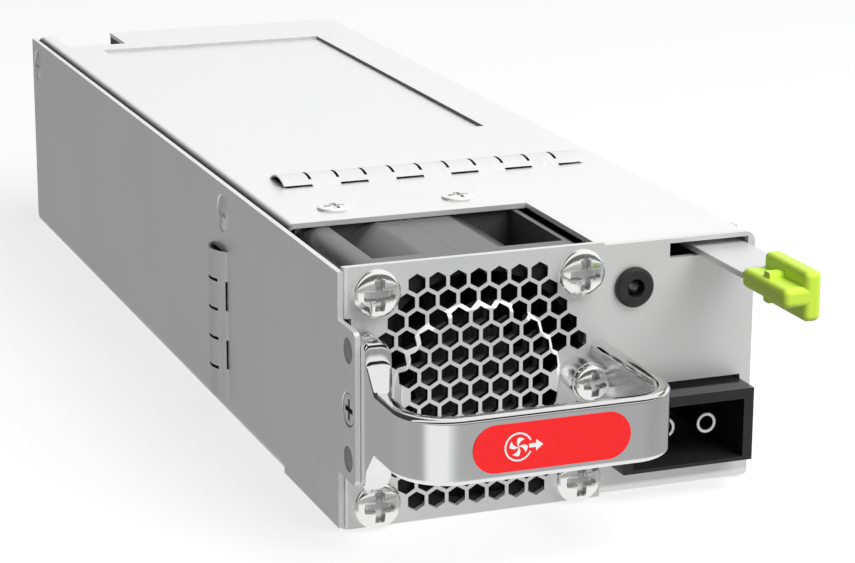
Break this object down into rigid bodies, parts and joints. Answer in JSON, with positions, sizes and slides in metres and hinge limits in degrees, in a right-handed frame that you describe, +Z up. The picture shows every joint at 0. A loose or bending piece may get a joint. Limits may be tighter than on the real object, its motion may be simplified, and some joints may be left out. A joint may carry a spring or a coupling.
{
  "type": "power supply module",
  "caption": "Slide-in DC power supply module: folded sheet case, fan behind a hexagon grille, plated pull handle, sprung latch lever, front DC socket and blind-mate rear connector.",
  "frame": {"origin": "middle of the case's underside: half-way across the case, half-way from the front panel's face to the rear edge, on the bottom face", "axes": "+X to the right seen from the front, +Y from the front panel to the rear, +Z up"},
  "size_m": [0.0704, 0.2186, 0.0405],
  "materials": {
    "case_sheet": "satin zinc-plated sheet",
    "handle_plating": "bright plated",
    "label_red": "printed film",
    "screw_steel": "bright nickel-plated",
    "spring_sheet": "thin plated spring sheet",
    "fan_plastic": "glass-filled black moulding",
    "copper": "bare copper",
    "lead_rubber": "insulated lead",
    "black_plastic": "black moulding",
    "lamp_lens": "smoked lens",
    "contact_plating": "tin plated",
    "lever_steel": "stainless strip",
    "grip_lime": "lime moulding",
    "board_green": "solder mask",
    "standoff_brass": "turned brass",
    "film_amber": "insulating film",
    "sink_aluminium": "extruded",
    "ferrite": "ferrite",
    "winding_enamel": "enamelled wire",
    "capacitor_sleeve": "shrink sleeve"
  },
  "bodies": {
    "module": {"base_tray": "case_sheet", "top_cover": "case_sheet", "front_panel": "case_sheet", "fan_bracket": "case_sheet", "handle": "handle_plating", "handle_label": "label_red", "handle_side_screw": "screw_steel", "handle_foot_screw": "screw_steel", "cover_screws": "screw_steel", "wall_screws": "screw_steel", "fan_screws": "screw_steel", "board_screws": "screw_steel", "top_finger_strip": "spring_sheet", "side_finger_strip": "spring_sheet", "latch_spring": "spring_sheet", "fan_frame": "fan_plastic", "fan_stator": "copper", "fan_lead": "lead_rubber", "led_bezel": "black_plastic", "led_lens": "lamp_lens", "dc_socket": "black_plastic", "dc_contacts": "contact_plating", "input_busbars": "copper", "latch_pivot": "lever_steel", "main_board": "board_green", "board_standoffs": "standoff_brass", "insulating_film": "film_amber", "heat_sink": "sink_aluminium", "transformer": "ferrite", "output_choke": "ferrite", "input_choke": "winding_enamel", "input_capacitors": "capacitor_sleeve", "output_capacitors": "capacitor_sleeve", "rear_frame": "black_plastic", "rear_connector": "black_plastic", "rear_contacts": "contact_plating"},
    "latch": {"latch_lever": "lever_steel", "latch_grip": "grip_lime"},
    "rotor": {"fan_rotor": "fan_plastic"}
  },
  "joints": [
    {"name": "latch_hinge", "type": "hinge", "parent": "module", "child": "latch", "pos_m": [0.02755, -0.0615, 0.03705], "axis": [0, 0, -1], "range_deg": [0, 6.5], "stiffness_Nm_per_rad": 0.3, "springref_deg": -8.59, "deforming": ["latch_spring"]},
    {"name": "fan_spin", "type": "hinge", "parent": "module", "child": "rotor", "pos_m": [-0.01156, -0.08, 0.0196], "axis": [0, 1, 0], "continuous": true}
  ]
}
